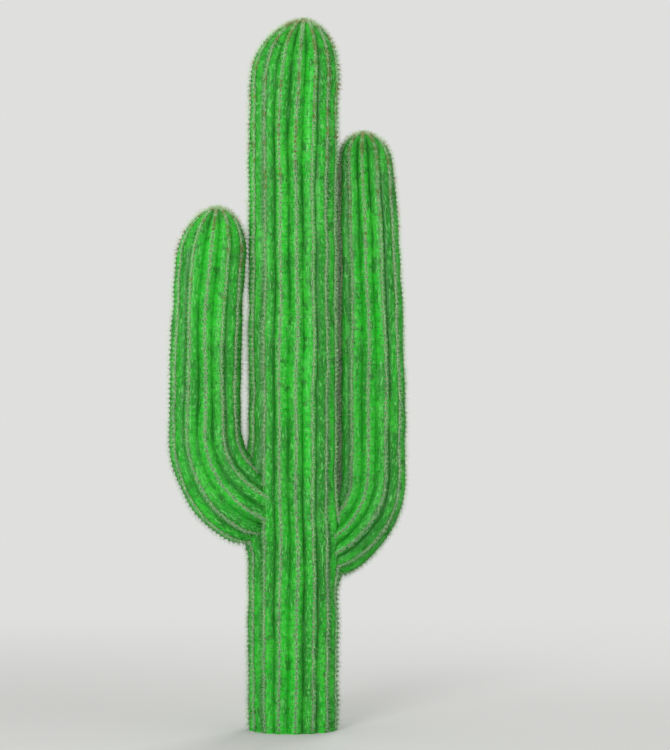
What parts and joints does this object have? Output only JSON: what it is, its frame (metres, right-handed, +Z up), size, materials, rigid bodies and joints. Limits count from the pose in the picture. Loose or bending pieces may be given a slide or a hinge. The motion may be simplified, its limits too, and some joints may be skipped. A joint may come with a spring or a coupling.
{
  "type": "saguaro cactus",
  "caption": "Tall ribbed column cactus, rooted in level ground, with an arm on each side that leaves the trunk low down, bends up and runs close beside it to a round, spiny tip.",
  "frame": {"origin": "middle of the flat cut under the trunk, at ground level", "axes": "+Z up along the trunk, +X towards the taller arm's side, -Y the front that the picture shows"},
  "size_m": [1.7372, 0.8237, 5],
  "materials": {
    "trunk_skin": "satin",
    "arm_skin": "satin",
    "spine": "matte",
    "areole_felt": "matte"
  },
  "bodies": {
    "root": {"trunk": "trunk_skin", "left_arm": "arm_skin", "right_arm": "arm_skin"}
  },
  "joints": []
}
